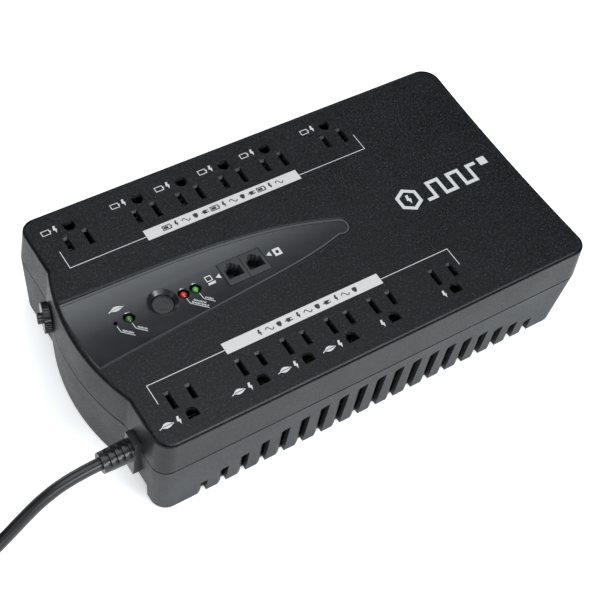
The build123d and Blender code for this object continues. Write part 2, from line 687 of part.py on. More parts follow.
# ---- strain relief ----
def strain_relief():
    """A base plate, a slotted ribbed sleeve round the cord, and the collar inside the wall."""
    plate = box(
        PLATE_OUT_X, PLATE_IN_X, RELIEF_Y - PLATE_W / 2, RELIEF_Y + PLATE_W / 2, PLATE_Z0, PLATE_Z1
    )
    plate = fillet(plate.edges().filter_by(Axis.X), 1.2)
    plate -= slab(plan(BASE_INSET_X, BASE_INSET_Y), plan(), BASE_Z, SEAM_Z)
    plate -= slab(plan(), plan(TOP_INSET), SEAM_Z, TOP_Z)
    length = PLATE_OUT_X + 0.5 - RELIEF_END_X
    at_end = Pos(RELIEF_END_X + length / 2, RELIEF_Y, RELIEF_Z) * Rot(0, 90, 0)
    sleeve = at_end * Cone(RELIEF_R1, RELIEF_R0, length)
    cuts = []
    for i in range(4):
        x0 = RELIEF_END_X + 2.6 + i * 4.1
        x1 = x0 + 2.1
        ring = rod_x(x0, x1, RELIEF_Y, RELIEF_Z, 9) - rod_x(x0, x1, RELIEF_Y, RELIEF_Z, 4.9)
        spine = box(x0, x1, RELIEF_Y - 9, RELIEF_Y + 9, RELIEF_Z - 2.2, RELIEF_Z + 2.2)
        cuts.append(ring - spine)
    neck = rod_x(PLATE_OUT_X + 1, -141.0, RELIEF_Y, RELIEF_Z, 4.5)
    collar = rod_x(-142.5, -139.4, RELIEF_Y, RELIEF_Z, 6.2)
    bore = rod_x(CORD_POINTS[0][0], -130, RELIEF_Y, RELIEF_Z, CORD_R - 0.3)
    mouth = rod_x(RELIEF_END_X - 1, CORD_POINTS[0][0], RELIEF_Y, RELIEF_Z, CORD_R)
    return join([plate, sleeve, neck, collar]).cut(*cuts, bore, mouth)


# ---- mains cord ----
def arc_radii(points):
    """The largest arc at each corner: 0.45 of the shorter run over the tangent of half the turn."""
    radii = []
    for a, b, c in zip(points, points[1:], points[2:]):
        run_in, run_out = Vector(*b) - Vector(*a), Vector(*c) - Vector(*b)
        half_turn = math.radians(run_in.get_angle(run_out)) / 2
        radii.append(0.45 * min(run_in.length, run_out.length) / math.tan(half_turn))
    return radii


def tube(points, radius, name):
    """A round tube along straight runs joined by tangent arcs."""
    radii = arc_radii(points)
    path = FilletPolyline(*points, radius=radii)
    section = Plane(path @ 0, z_dir=path % 0) * Circle(radius)
    solid = sweep(section, path=path)
    expected = math.pi * radius**2 * path.length
    print(name, "radii", [round(r) for r in radii], "length", round(path.length, 1),
          "volume ratio", round(solid.volume / expected, 4))
    return solid


def cord_coil():
    """The outer shape of the wound turns: a wide ring with a narrower one on it."""
    inner, wide, narrow = COIL_IN - CORD_R, COIL_OUT + CORD_R, COIL_TOP_OUT + CORD_R
    place = Pos(COIL_X, COIL_Y, 0)
    bore = Pos(0, 0, TIE_T + CORD_D) * Cylinder(inner, 2 * CORD_D + 2)
    low = Pos(0, 0, TIE_T + CORD_R) * Cylinder(wide, CORD_D)
    low = fillet(low.edges().filter_by(GeomType.CIRCLE), CORD_R - 0.1)
    high = Pos(0, 0, TIE_T + CORD_D) * Cylinder(narrow, 2 * CORD_D)
    high = fillet(high.edges().sort_by(Axis.Z)[-1], CORD_R - 0.1)
    return place * (low + high - bore)


def cord_tie():
    """A strap right round the bundle at the coil's far side, with its buckle on top."""
    inner, wide, narrow = COIL_IN - CORD_R, COIL_OUT + CORD_R, COIL_TOP_OUT + CORD_R
    top = TIE_T + 2 * CORD_D
    bundle = make_face(Polyline(
        (inner - 0.3, TIE_T), (wide + 0.3, TIE_T), (wide + 0.3, TIE_T + CORD_D),
        (narrow + 0.6, top + 0.1), (inner - 0.3, top + 0.1), close=True,
    ))
    skin = make_face(Polyline(
        (inner - 1.4, 0), (wide + 1.4, 0), (wide + 1.4, TIE_T + CORD_D + 0.4),
        (narrow + 1.1, top + 1.2), (inner - 1.4, top + 1.2), close=True,
    ))
    band = fillet(skin.vertices(), 2.0) - fillet(bundle.vertices(), 1.6)
    at_far_side = Pos(COIL_X - 6, COIL_Y, 0)
    strap = at_far_side * extrude(Plane.YZ * band, 12)
    buckle = box(COIL_X - 7.5, COIL_X + 7.5, 17, 29, top + 1.1, top + 2.6)
    buckle = fillet(buckle.edges().filter_by(Axis.Z), 1.5)
    return join([strap, buckle]) - cord_coil()


def plug_place():
    """The plug's frame: local +X along the tail and away from the coil."""
    end = TAIL_POINTS[-1]
    return Pos(*end) * Rot(0, 0, 90 + PLUG_TURN) * Pos(-7, 0, 0)


def plug_body():
    """A moulded grip with a ribbed nose round the cord."""
    grip = Pos(36, 0, 0) * Box(24, 25, 2 * LAYER_Z[1])
    grip = fillet(grip.edges().filter_by(Axis.X), 5.5)
    grip = fillet(grip.edges().sort_by(Axis.X)[:8], 1.5)
    nose = Pos(14, 0, 0) * Rot(0, 90, 0) * Cone(5.0, 7.6, 22)
    slot = Box(1.6, 20, 20) - Box(1.6, 30, 3.2) - Rot(0, 90, 0) * Cylinder(4.6, 1.6)
    cuts = [Pos(6 + 4 * i, 0, 0) * slot for i in range(4)]
    mouth = Pos(3.5, 0, 0) * Rot(0, 90, 0) * Cylinder(CORD_R, 7)
    return plug_place() * join([grip, nose]).cut(*cuts, mouth)


def plug_blades():
    """Two flat blades and a round ground pin."""
    x0 = 48.0
    hot = Pos(x0 + 8.5, -BLADE_HALF, 3.2) * Box(17, 1.5, 6.3)
    neutral = Pos(x0 + 8.5, BLADE_HALF, 3.2) * Box(17, 1.5, 7.9)
    pin = Pos(x0 + 9.5, 0, -7.0) * Rot(0, 90, 0) * Cylinder(2.4, 19)
    return [plug_place() * s for s in (hot, neutral, pin)]


# ---- battery and transformer ----
def battery():
    length, width, height = BATTERY
    case = box(BATTERY_X, BATTERY_X + length, -width / 2, width / 2 - 6, BATTERY_Z, BATTERY_Z + height)
    case = fillet(case.edges(), 1.5)
    lid = box(
        BATTERY_X + 1, BATTERY_X + length - 1, width / 2 - 8, width / 2, BATTERY_Z + 1,
        BATTERY_Z + height - 1,
    )
    return join([case, fillet(lid.edges().filter_by(Axis.Y), 2)])


def terminal(x):
    """A blade terminal standing out of the battery's lid."""
    y = BATTERY[1] / 2
    return box(x - 3.15, x + 3.15, y, y + 6.5, 13.6, 14.4)


def transformer_core():
    """A laminated shell core with two windows."""
    length, depth, height = CORE
    core = box(CORE_X - length / 2, CORE_X + length / 2, -depth / 2, depth / 2, CORE_Z, CORE_Z + height)
    cuts = []
    for s in (-1, 1):
        x0, x1 = sorted((CORE_X + s * 9.5, CORE_X + s * 19))
        cuts.append(box(x0, x1, -depth, depth, CORE_Z + 9.5, CORE_Z + height - 9.5))
    lams = [box(CORE_X - 40, CORE_X + 40, y - 0.15, y + 0.15, CORE_Z + height - 0.5, 80)
            for y in range(-30, 31, 6)]
    return core.cut(*cuts, *lams)


def transformer_winding():
    """The winding round the core's middle leg, bulging past both ends of the stack."""
    z0, z1 = CORE_Z + 10, CORE_Z + CORE[2] - 10
    half_y = CORE[1] / 2 + 10
    body = box(CORE_X - 18.6, CORE_X + 18.6, -half_y, half_y, z0, z1)
    body = fillet(body.edges().filter_by(Axis.Z), 8)
    leg = box(CORE_X - 9.5, CORE_X + 9.5, -CORE[1] / 2 - 0.3, CORE[1] / 2 + 0.3, z0 - 1, z1 + 1)
    return body - leg


def transformer_bracket():
    """A strap over the core with a screwed foot at each side."""
    x0, x1 = CORE_X - CORE[0] / 2 - 0.2, CORE_X + CORE[0] / 2 + 0.2
    top = CORE_Z + CORE[2]
    outer = box(x0 - 1.2, x1 + 1.2, -16, 16, FLOOR_Z, top + 1.2)
    outer -= box(x0, x1, -20, 20, 0, top)
    feet = [box(a, b, -16, 16, FLOOR_Z, FLOOR_Z + 1.4)
            for a, b in ((x0 - 4.6, x0 - 0.6), (x1 + 0.6, x1 + 4.2))]
    return join([outer, *feet]) - box(x0, x1, -40, 40, 0, CORE_Z)


# ---- power board ----
def power_board():
    board = box(PCB_X0, PCB_X1, -PCB_HALF, PCB_HALF, PCB_Z, PCB_Z + PCB_T)
    ends = [(x, y) for x in (PCB_X0 + 4, PCB_X1 - 4) for y in (-66, 66)]
    return board.cut(*[post(x, y, PCB_Z - 1, PCB_Z + 3, 1.6) for x, y in ends])


def heatsink(y0):
    """An aluminium spine with fins, standing on the board."""
    z0 = PCB_Z + PCB_T
    spine = box(-88, -85.5, y0, y0 + 44, z0, z0 + 30)
    fins = [box(-98, -87, y0 + 8 * i, y0 + 8 * i + 1.6, z0 + 4, z0 + 30) for i in range(6)]
    return join([spine, *fins])


def transistor(y):
    """A tab-mounted power transistor against a heatsink's spine."""
    z0 = PCB_Z + PCB_T
    x0 = -85.5
    body = box(x0, x0 + 4.5, y - 5, y + 5, z0 + 8, z0 + 17)
    tab = box(x0, x0 + 1.3, y - 5, y + 5, z0 + 16, z0 + 23)
    legs = [box(x0 + 2, x0 + 2.7, y + 2.5 * k - 0.4, y + 2.5 * k + 0.4, z0, z0 + 9) for k in (-1, 0, 1)]
    return join([body, tab, *legs])


def capacitor(x, y, radius, height):
    z0 = PCB_Z + PCB_T
    can = post(x, y, z0, z0 + height, radius)
    can = fillet(can.edges().sort_by(Axis.Z)[-1], 0.8)
    return can - (post(x, y, z0 + 2.2, z0 + 2.9, radius + 1) - post(x, y, z0 + 2, z0 + 3, radius - 0.4))


def relay(x, y):
    z0 = PCB_Z + PCB_T
    case = box(x - 9.5, x + 9.5, y - 7.7, y + 7.7, z0, z0 + 15.5)
    return fillet(case.edges().sort_by(Axis.Z)[-4:], 0.8)


def fuse_and_clips():
    """A glass fuse with end caps in two clips."""
    z = PCB_Z + PCB_T + 5
    tube_part = rod_x(FUSE_X - 9, FUSE_X + 9, FUSE_Y, z, 2.4)
    ends = (FUSE_X - 10, FUSE_X + 5)
    caps = [rod_x(x, x + 5, FUSE_Y, z, 2.9) for x in ends]
    clips = [box(x + 1.5, x + 3.5, FUSE_Y - 3.5, FUSE_Y + 3.5, PCB_Z + PCB_T, z) for x in ends]
    return join([tube_part, *caps, *clips])


def terminal_block():
    z0 = PCB_Z + PCB_T
    block = box(-137, -125, -62, -40, z0, z0 + 12)
    wells = [rod_x(-140, -131, MAINS_Y[i], z0 + 5, 2.2) for i in range(3)]
    slots = [post(-128.5, MAINS_Y[i], z0 + 8, z0 + 13, 2.2) for i in range(3)]
    return block.cut(*wells, *slots)


def buzzer():
    z0 = PCB_Z + PCB_T
    can = post(-118, -30, z0, z0 + 9.5, 6.0)
    return can - post(-118, -30, z0 + 8, z0 + 12, 1.2)


# ---- surge board ----
def surge_board():
    return box(-52, 34, -79, -53, 10, 11.6)


def surge_feet():
    return group([post(x, y, FLOOR_Z, 10, 2.5) for x in (-48, 30) for y in (-75.5, -56.5)])


def varistor(x):
    disc = rod_y(x, -68.5, -64, 21.5, 8.0)
    leads = [box(x + k - 0.4, x + k + 0.4, -66.6, -65.8, 11.6, 16) for k in (-3.7, 3.7)]
    return join([fillet(disc.edges().filter_by(GeomType.CIRCLE), 1.4), *leads])


def choke():
    """A toroidal choke wound with wire, lying on the surge board."""
    ring = Pos(18, -66, 17.6) * Torus(8.0, 3.2)
    turns = [
        Pos(18, -66, 17.6) * Rot(0, 0, i * 20) * Pos(8.0, 0, 0) * Rot(90, 0, 0) * Torus(3.4, 0.55)
        for i in range(18) if i not in (0, 9)
    ]
    return join([ring, *turns])


# ---- wiring ----
def wire(points, radius, bend):
    path = FilletPolyline(*points, radius=bend)
    section = Plane(path @ 0, z_dir=path % 0) * Circle(radius)
    return sweep(section, path=path)


def boot(x):
    """An insulated receptacle on a battery terminal."""
    y = BATTERY[1] / 2
    body = box(x - 4.5, x + 4.5, y + 1.2, y + 13, 11.4, 16.6)
    return body.cut(box(x - 3.15, x + 3.15, y, y + 7, 13.6, 14.4), rod_y(x, y + 9, y + 14, 14, 1.5))


def battery_lead(x, run_y, run_z, end_y):
    start_y = BATTERY[1] / 2 + 9
    points = [
        (x, start_y, 14.0),
        (x, run_y, 14.0),
        (x - 12, run_y, run_z),
        (-60.0, run_y, run_z),
        (-65.0, (run_y + end_y) / 2, 26.0),
        (-78.0, end_y, 26.0),
        (-78.0, end_y, PCB_Z + PCB_T),
    ]
    return wire(points, 1.5, 4.0)


def mains_cores():
    """The three insulated cores of the mains cord, from the strain relief to the terminal block."""
    cores = []
    for k, y in enumerate(MAINS_Y):
        start_y = RELIEF_Y + (k - 1) * 2.3
        points = [
            (-143.0, start_y, RELIEF_Z),
            (-135.0 + k, start_y, RELIEF_Z - 2),
            (-128.5, y, 32.0),
            (-128.5, y, PCB_Z + PCB_T + 8.0),
        ]
        cores.append(wire(points, 1.0, 2.0))
    return group(cores)


def build_case():
    save(top_cover(), "top_cover")
    save(bottom_tray(), "bottom_tray")
    save(battery_door(), "battery_door")
    save(label(-1), "front_label")
    save(label(1), "rear_label")
    save(group([foot(x, y) for x, y in FOOT_XY]), "rubber_feet")
    save(group([case_screw(x, y) for x, y in SCREW_XY]), "case_screws")


def build_outlets():
    for side, row in ((-1, "front"), (1, "rear")):
        save(outlet_housing(side), f"{row}_outlet_housing")
        save(blade_bus(side, -7.2, 1, 4.2), f"{row}_hot_busbar")
        save(blade_bus(side, 6.4, -1, -4.4), f"{row}_neutral_busbar")
        save(ground_bus(side), f"{row}_ground_busbar")


def build_controls():
    save(control_panel(), "control_panel")
    save(panel_trim(), "panel_trim")
    save(control_board(), "control_board")
    screws = [board_screw(x, y) for x, y in BOARD_POSTS]
    screws += [power_board_screw(x, y) for x in (PCB_X0 + 4, PCB_X1 - 4) for y in (-66, 66)]
    save(group(screws), "board_screws")
    save(button_bezel(), "button_bezel")
    save(power_button(), "power_button")
    save(power_switch(), "power_switch")
    save(lamp(RED_X), "red_lamp")
    save(group([lamp(GREEN_X), lamp(ECO_X)]), "green_lamps")
    save(eco_switch(), "eco_switch")
    save(eco_plunger(), "eco_plunger")
    save(modular_jack(), "modular_jack")
    save(jack_contacts(), "jack_contacts")
    save(breaker_body(), "breaker_body")
    save(breaker_nut(), "breaker_nut")
    save(breaker_button(), "breaker_button")


def build_cord():
    save(strain_relief(), "strain_relief")
    save(tube(CORD_POINTS, CORD_R, "power_cord"), "power_cord")
    save(cord_coil(), "cord_coil")
    save(cord_tie(), "cord_tie")
    save(tube(TAIL_POINTS, CORD_R, "cord_tail"), "cord_tail")
    save(plug_body(), "plug_body")
    save(group(plug_blades()), "plug_blades")
    save(mains_cores(), "mains_cores")


def build_power():
    save(battery(), "battery")
    save(group([terminal(x) for x in (NEG_X, POS_X)]), "battery_terminals")
    save(group([boot(x) for x in (NEG_X, POS_X)]), "terminal_boots")
    save(battery_lead(NEG_X, 66.0, 8.0, 36.0), "negative_lead")
    save(battery_lead(POS_X, 71.0, 8.0, 45.0), "positive_lead")
    save(transformer_core(), "transformer_core")
    save(transformer_winding(), "transformer_winding")
    save(transformer_bracket(), "transformer_bracket")
    save(power_board(), "power_board")
    save(group([heatsink(y) for y in (-47.0, 3.0)]), "heatsinks")
    save(group([transistor(y) for y in (-36.0, -16.0, 14.0, 34.0)]), "power_transistors")
    cans = [(-128, -4, 6.5, 22), (-128, 12, 6.5, 22), (-112, 2, 8.0, 26), (-112, -14, 5.0, 16)]
    save(group([capacitor(*c) for c in cans]), "capacitors")
    save(group([relay(x, y) for x, y in ((-122, 60), (-122, 42), (-103, -60))]), "relays")
    save(fuse_and_clips(), "fuse")
    save(terminal_block(), "terminal_block")
    save(buzzer(), "buzzer")


def build_surge():
    save(join([surge_board(), *surge_feet().solids()]), "surge_board")
    save(group([varistor(x) for x in (-42, -22, -2)]), "varistors")
    save(choke(), "surge_choke")


os.makedirs("parts", exist_ok=True)
build_case()
build_outlets()
build_controls()
build_cord()
build_power()
build_surge()
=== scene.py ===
import math
import bpy
from mathutils import Matrix, Vector
from mathutils.bvhtree import BVHTree


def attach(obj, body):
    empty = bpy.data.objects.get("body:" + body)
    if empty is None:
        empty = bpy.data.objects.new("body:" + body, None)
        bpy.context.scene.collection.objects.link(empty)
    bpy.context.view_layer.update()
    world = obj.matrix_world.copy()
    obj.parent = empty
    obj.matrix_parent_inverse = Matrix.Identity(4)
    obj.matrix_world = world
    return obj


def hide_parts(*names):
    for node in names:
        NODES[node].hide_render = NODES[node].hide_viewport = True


# Looks for the desktop uninterruptible power supply. Lengths are in metres, and MM
# turns the millimetres of the part's own drawing into them.
MM = 0.001

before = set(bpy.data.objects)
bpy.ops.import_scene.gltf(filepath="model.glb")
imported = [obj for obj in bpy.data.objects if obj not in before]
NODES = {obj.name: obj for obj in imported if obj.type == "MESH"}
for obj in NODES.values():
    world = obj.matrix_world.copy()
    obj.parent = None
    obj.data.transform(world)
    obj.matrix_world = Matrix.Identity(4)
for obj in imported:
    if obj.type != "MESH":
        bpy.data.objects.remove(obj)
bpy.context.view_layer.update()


def add_object(name, data):
    """A new object with this data, linked to the scene."""
    thing = bpy.data.objects.new(name, data)
    bpy.context.scene.collection.objects.link(thing)
    return thing


# ---------------------------------------------------------------- camera

CAMERA_PLACE = (-0.34075, -0.37058, 0.70067)
CAMERA_RIGHT = (0.83358, -0.53644, 0.13178)
CAMERA_UP = (0.37605, 0.72583, 0.57598)
CAMERA_BACK = (-0.40463, -0.43057, 0.80677)
LENS_MM = 80.751
SENSOR_MM = 36.0
CLIP_NEAR, CLIP_FAR = 0.01, 50.0


def make_camera():
    data = bpy.data.cameras.new("camera")
    data.lens = LENS_MM
    data.sensor_width = SENSOR_MM
    data.clip_start = CLIP_NEAR
    data.clip_end = CLIP_FAR
    camera = add_object("camera", data)
    turn = Matrix((CAMERA_RIGHT, CAMERA_UP, CAMERA_BACK)).transposed().to_4x4()
    camera.matrix_world = Matrix.Translation(CAMERA_PLACE) @ turn
    bpy.context.scene.camera = camera


make_camera()

# ---------------------------------------------------------------- node helpers


def new_material(name):
    material = bpy.data.materials.new(name)
    material.use_nodes = True
    tree = material.node_tree
    tree.nodes.clear()
    out = tree.nodes.new("ShaderNodeOutputMaterial")
    shader = tree.nodes.new("ShaderNodeBsdfPrincipled")
    tree.links.new(shader.outputs[0], out.inputs[0])
    return material, tree, shader


def place(tree, stretch=(1, 1, 1)):
    """The object's own coordinates, stretched."""
    coords = tree.nodes.new("ShaderNodeTexCoord")
    mapping = tree.nodes.new("ShaderNodeMapping")
    mapping.inputs["Scale"].default_value = stretch
    tree.links.new(coords.outputs["Object"], mapping.inputs["Vector"])
    return mapping.outputs[0]


def noise(tree, size, detail=2.0, rough=0.5, stretch=(1, 1, 1)):
    """Noise whose blobs are about size millimetres."""
    node = tree.nodes.new("ShaderNodeTexNoise")
    node.inputs["Scale"].default_value = 1.0 / (size * MM)
    node.inputs["Detail"].default_value = detail
    node.inputs["Roughness"].default_value = rough
    tree.links.new(place(tree, stretch), node.inputs["Vector"])
    return node.outputs["Fac"]


def cells(tree, size):
    """Distance from the middles of cells about size millimetres apart."""
    node = tree.nodes.new("ShaderNodeTexVoronoi")
    node.inputs["Scale"].default_value = 1.0 / (size * MM)
    tree.links.new(place(tree), node.inputs["Vector"])
    return node.outputs["Distance"]


def waves(tree, size, axis, profile="SIN", distortion=0.0):
    """Bands size millimetres apart across an axis."""
    node = tree.nodes.new("ShaderNodeTexWave")
    node.bands_direction = axis
    node.wave_profile = profile
    node.inputs["Scale"].default_value = math.tau / (20.0 * size * MM)
    node.inputs["Distortion"].default_value = distortion
    tree.links.new(place(tree), node.inputs["Vector"])
    return node.outputs["Fac"]


def math_node(tree, how, a, b):
    node = tree.nodes.new("ShaderNodeMath")
    node.operation = how
    for socket, value in zip(node.inputs, (a, b)):
        if isinstance(value, (int, float)):
            socket.default_value = value
        else:
            tree.links.new(value, socket)
    return node.outputs[0]


def spread(tree, value, low, high, start=0.3, end=0.7):
    """value from start..end becomes low..high."""
    node = tree.nodes.new("ShaderNodeMapRange")
    for name, number in (("From Min", start), ("From Max", end),
                         ("To Min", low), ("To Max", high)):
        node.inputs[name].default_value = number
    tree.links.new(value, node.inputs["Value"])
    return node.outputs[0]


def mix_colour(tree, factor, a, b):
    node = tree.nodes.new("ShaderNodeMix")
    node.data_type = "RGBA"
    tree.links.new(factor, node.inputs[0])
    for socket, value in ((node.inputs[6], a), (node.inputs[7], b)):
        if isinstance(value, tuple):
            socket.default_value = (*value, 1.0)
        else:
            tree.links.new(value, socket)
    return node.outputs[2]


def blend(tree, value, a, b, start=0.3, end=0.7):
    """Colour a where value is at start or under it, and b where it is at end or over it."""
    return mix_colour(tree, spread(tree, value, 0.0, 1.0, start, end), a, b)


def shade(colour, factor):
    return tuple(min(1.0, channel * factor) for channel in colour)


def add_bump(tree, shader, height, depth, strength=1.0):
    """A bump depth millimetres deep, on top of any bump that the shader has."""
    node = tree.nodes.new("ShaderNodeBump")
    node.inputs["Strength"].default_value = strength
    node.inputs["Distance"].default_value = depth * MM
    tree.links.new(height, node.inputs["Height"])
    if shader.inputs["Normal"].links:
        tree.links.new(shader.inputs["Normal"].links[0].from_socket, node.inputs["Normal"])
    tree.links.new(node.outputs[0], shader.inputs["Normal"])


def set_colour(tree, shader, colour):
    tree.links.new(colour, shader.inputs["Base Color"])


def set_rough(tree, shader, value):
    tree.links.new(value, shader.inputs["Roughness"])


def plastic(name, colour, rough, grain=0.5, depth=0.02, speckle=0.12, uneven=0.05, specular=0.5):
    """Moulded plastic: a fine grain, a faint speckle and slow changes of gloss."""
    material, tree, shader = new_material(name)
    fine = noise(tree, grain, 2.0, 0.6)
    slow = noise(tree, 22.0, 3.0, 0.6)
    dark, pale = shade(colour, 1 - speckle), shade(colour, 1 + speckle)
    set_colour(tree, shader, blend(tree, fine, dark, pale))
    set_rough(tree, shader, spread(tree, slow, rough - uneven, rough + uneven))
    shader.inputs["Specular IOR Level"].default_value = specular
    add_bump(tree, shader, fine, depth)
    return material


TARNISH = 0.25
SCRATCH_DEPTH = 0.004


def metal(name, colour, rough, stretch=(1, 1, 1), scratch=0.35):
    """Bare metal: fine drawn scratches and a patchy tarnish."""
    material, tree, shader = new_material(name)
    lines = noise(tree, scratch, 3.0, 0.7, stretch)
    patches = noise(tree, 9.0, 4.0, 0.6)
    set_colour(tree, shader, blend(tree, patches, shade(colour, 1 - TARNISH), colour))
    set_rough(tree, shader, spread(tree, lines, rough - 0.08, rough + 0.1))
    shader.inputs["Metallic"].default_value = 1.0
    add_bump(tree, shader, lines, SCRATCH_DEPTH)
    return material


# ---------------------------------------------------------------- materials

PITS, FINE_GRAIN, COARSE_GRAIN = 0.8, 0.55, 1.3
GRAIN_DEPTH, PIT_DEPTH, PIT_STRENGTH = 0.20, 0.03, 0.6
# painted shade in the hollows of the grain and painted glints on its tips, both in the base
# colour
HOLLOW_PAINTED_SHADE, TIP_PAINTED_GLINT = 0.35, 6.5


def cover_look(name, colour, rough, specular):
    """Spark-eroded charcoal plastic: two sizes of grain, with painted shade in the grain's
    hollows and painted glints on the grain's tips.
    """
    material, tree, shader = new_material(name)
    fine = noise(tree, FINE_GRAIN, 2.0, 0.65)
    coarse = noise(tree, COARSE_GRAIN, 3.0, 0.65)
    slow = noise(tree, 30.0, 3.0, 0.55)
    grain = math_node(tree, "ADD", math_node(tree, "MULTIPLY", fine, 0.5),
                      math_node(tree, "MULTIPLY", coarse, 0.5))
    dull = blend(tree, slow, shade(colour, 0.9), shade(colour, 1.1))
    # the hollows of the grain get painted shade and its tips get painted glints
    base_with_painted_shade = blend(tree, grain, shade(colour, HOLLOW_PAINTED_SHADE), dull, 0.40, 0.60)
    set_colour(tree, shader, blend(tree, grain, base_with_painted_shade, shade(colour, TIP_PAINTED_GLINT), 0.53, 0.64))
    mottle = math_node(tree, "ADD", spread(tree, slow, -0.04, 0.04),
                       spread(tree, grain, -0.10, 0.10, 0.42, 0.58))
    set_rough(tree, shader, math_node(tree, "ADD", mottle, rough))
    shader.inputs["Specular IOR Level"].default_value = specular
    add_bump(tree, shader, cells(tree, PITS), PIT_DEPTH, PIT_STRENGTH)
    add_bump(tree, shader, grain, GRAIN_DEPTH)
    return material


def ink_look(name, colour, rough):
    """Pad-printed ink: slightly uneven cover and the grain of what is under it."""
    material, tree, shader = new_material(name)
    fine = noise(tree, 0.35, 2.0, 0.6)
    thin = noise(tree, 1.6, 3.0, 0.6)
    set_colour(tree, shader, blend(tree, thin, shade(colour, 0.90), colour))
    set_rough(tree, shader, spread(tree, fine, rough - 0.06, rough + 0.08))
    add_bump(tree, shader, fine, 0.012)
    return material


LAMP_PAINTED_HIGHLIGHT = 0.9  # height of the painted highlight at the crown of a lamp's dome


def lens_look(name, colour, glow, node_name):
    """A tinted lamp lens that glows from inside, with a painted highlight that brightens its
    colour and glow toward the crown of its dome and painted shade that darkens its colour toward
    the rim.
    """
    dome_z = max(v.co.z for v in NODES[node_name].data.vertices) / MM
    material, tree, shader = new_material(name)
    swirl = noise(tree, 1.1, 2.0, 0.5)
    split = tree.nodes.new("ShaderNodeSeparateXYZ")
    tree.links.new(place(tree), split.inputs[0])
    # the crown of the dome gets a painted highlight in colour and glow, and the rim gets painted
    # shade
    crown_highlight = spread(tree, split.outputs[2], 0.0, 1.0, (dome_z - LAMP_PAINTED_HIGHLIGHT) * MM, dome_z * MM)
    uneven = math_node(tree, "MULTIPLY", crown_highlight, spread(tree, swirl, 0.8, 1.0))
    base_with_painted_shade = mix_colour(tree, uneven, shade(colour, 0.25), colour)
    set_colour(tree, shader, base_with_painted_shade)
    tree.links.new(base_with_painted_shade, shader.inputs["Emission Color"])
    tree.links.new(math_node(tree, "MULTIPLY", uneven, glow), shader.inputs["Emission Strength"])
    set_rough(tree, shader, spread(tree, noise(tree, 0.5), 0.12, 0.2))
    shader.inputs["Coat Weight"].default_value = 0.4
    return material


MASK_DARK, MASK_PALE = (0.004, 0.022, 0.009), (0.006, 0.032, 0.013)
TRACK_GREEN = (0.012, 0.062, 0.024)
WEAVE, TRACK_PITCH = 0.8, 9.0


def board_look(name):
    """Solder mask over a glass weave, with the paler copper tracks under it."""
    material, tree, shader = new_material(name)
    weave = math_node(tree, "MULTIPLY", waves(tree, WEAVE, "X"), waves(tree, WEAVE, "Y"))
    tracks = tree.nodes.new("ShaderNodeTexBrick")
    tracks.inputs["Scale"].default_value = 1.0 / (TRACK_PITCH * MM)
    tracks.inputs["Mortar Size"].default_value = 0.06
    tree.links.new(place(tree), tracks.inputs["Vector"])
    mask = mix_colour(tree, weave, MASK_DARK, MASK_PALE)
    set_colour(tree, shader, mix_colour(tree, tracks.outputs["Fac"], mask, TRACK_GREEN))
    set_rough(tree, shader, spread(tree, noise(tree, 4.0), 0.25, 0.4))
    add_bump(tree, shader, tracks.outputs["Fac"], 0.03)
    return material


def layered_look(name, colour, line_colour, pitch, axis, rough, depth, metallic=0.0):
    """Stacked sheets, wound tape or wound wire: dented lines across an axis."""
    material, tree, shader = new_material(name)
    lines = spread(tree, waves(tree, pitch, axis, "SAW", 0.4), 0.0, 1.0, 0.72, 0.98)
    patches = noise(tree, 7.0, 3.0, 0.6)
    dull = blend(tree, patches, shade(colour, 0.8), colour)
    set_colour(tree, shader, mix_colour(tree, lines, dull, line_colour))
    add_bump(tree, shader, lines, depth)
    set_rough(tree, shader, spread(tree, patches, rough - 0.07, rough + 0.07))
    shader.inputs["Metallic"].default_value = metallic
    return material


def glass_look(name):
    """Clear glass with a slight haze."""
    material, tree, shader = new_material(name)
    haze = noise(tree, 2.0, 3.0, 0.6)
    set_colour(tree, shader, mix_colour(tree, haze, (0.72, 0.8, 0.78), (0.9, 0.94, 0.92)))
    set_rough(tree, shader, spread(tree, haze, 0.04, 0.12))
    shader.inputs["Transmission Weight"].default_value = 0.85
    shader.inputs["IOR"].default_value = 1.47
    return material


COVER = cover_look("cover_plastic", (0.0052, 0.0060, 0.0072), rough=0.40, specular=0.27)
TRAY = cover_look("tray_plastic", (0.0086, 0.0098, 0.0116), rough=0.52, specular=0.40)
PANEL = plastic("panel_plastic", (0.0095, 0.0105, 0.0125), 0.24, grain=0.30, depth=0.008,
                uneven=0.03, specular=0.8)
TRIM = plastic("trim_plastic", (0.050, 0.053, 0.058), 0.34, grain=0.35, depth=0.010,
               speckle=0.14, uneven=0.04)
LABEL = ink_look("label_film", (0.60, 0.572, 0.566), 0.42)
INK = ink_look("white_ink", (0.58, 0.58, 0.58), 0.45)
DARK_INK = ink_look("dark_ink", (0.017, 0.016, 0.016), 0.5)
RUBBER_FOOT = plastic("foot_rubber", (0.020, 0.020, 0.020), 0.82, grain=0.7, depth=0.05,
                      speckle=0.15)
SCREW = metal("screw_steel", (0.62, 0.60, 0.54), 0.34)
HOUSING = plastic("housing_plastic", (0.012, 0.012, 0.013), 0.5, grain=0.4)
BRASS = metal("brass_strip", (0.42, 0.30, 0.14), 0.36, stretch=(1, 9, 9))
BOARD = board_look("board_laminate")
BUTTON = plastic("button_plastic", (0.010, 0.0105, 0.0115), 0.30, grain=0.45, depth=0.06,
                 speckle=0.25, specular=0.8)
SWITCH = plastic("switch_plastic", (0.020, 0.020, 0.022), 0.45, grain=0.4)
RED_LENS = lens_look("red_lens", (0.66, 0.022, 0.014), 0.30, "red_lamp")
GREEN_LENS = lens_look("green_lens", (0.075, 0.36, 0.050), 0.28, "green_lamps")
JACK = plastic("jack_plastic", (0.040, 0.042, 0.045), 0.22, grain=0.35, depth=0.006,
               speckle=0.10, uneven=0.03)
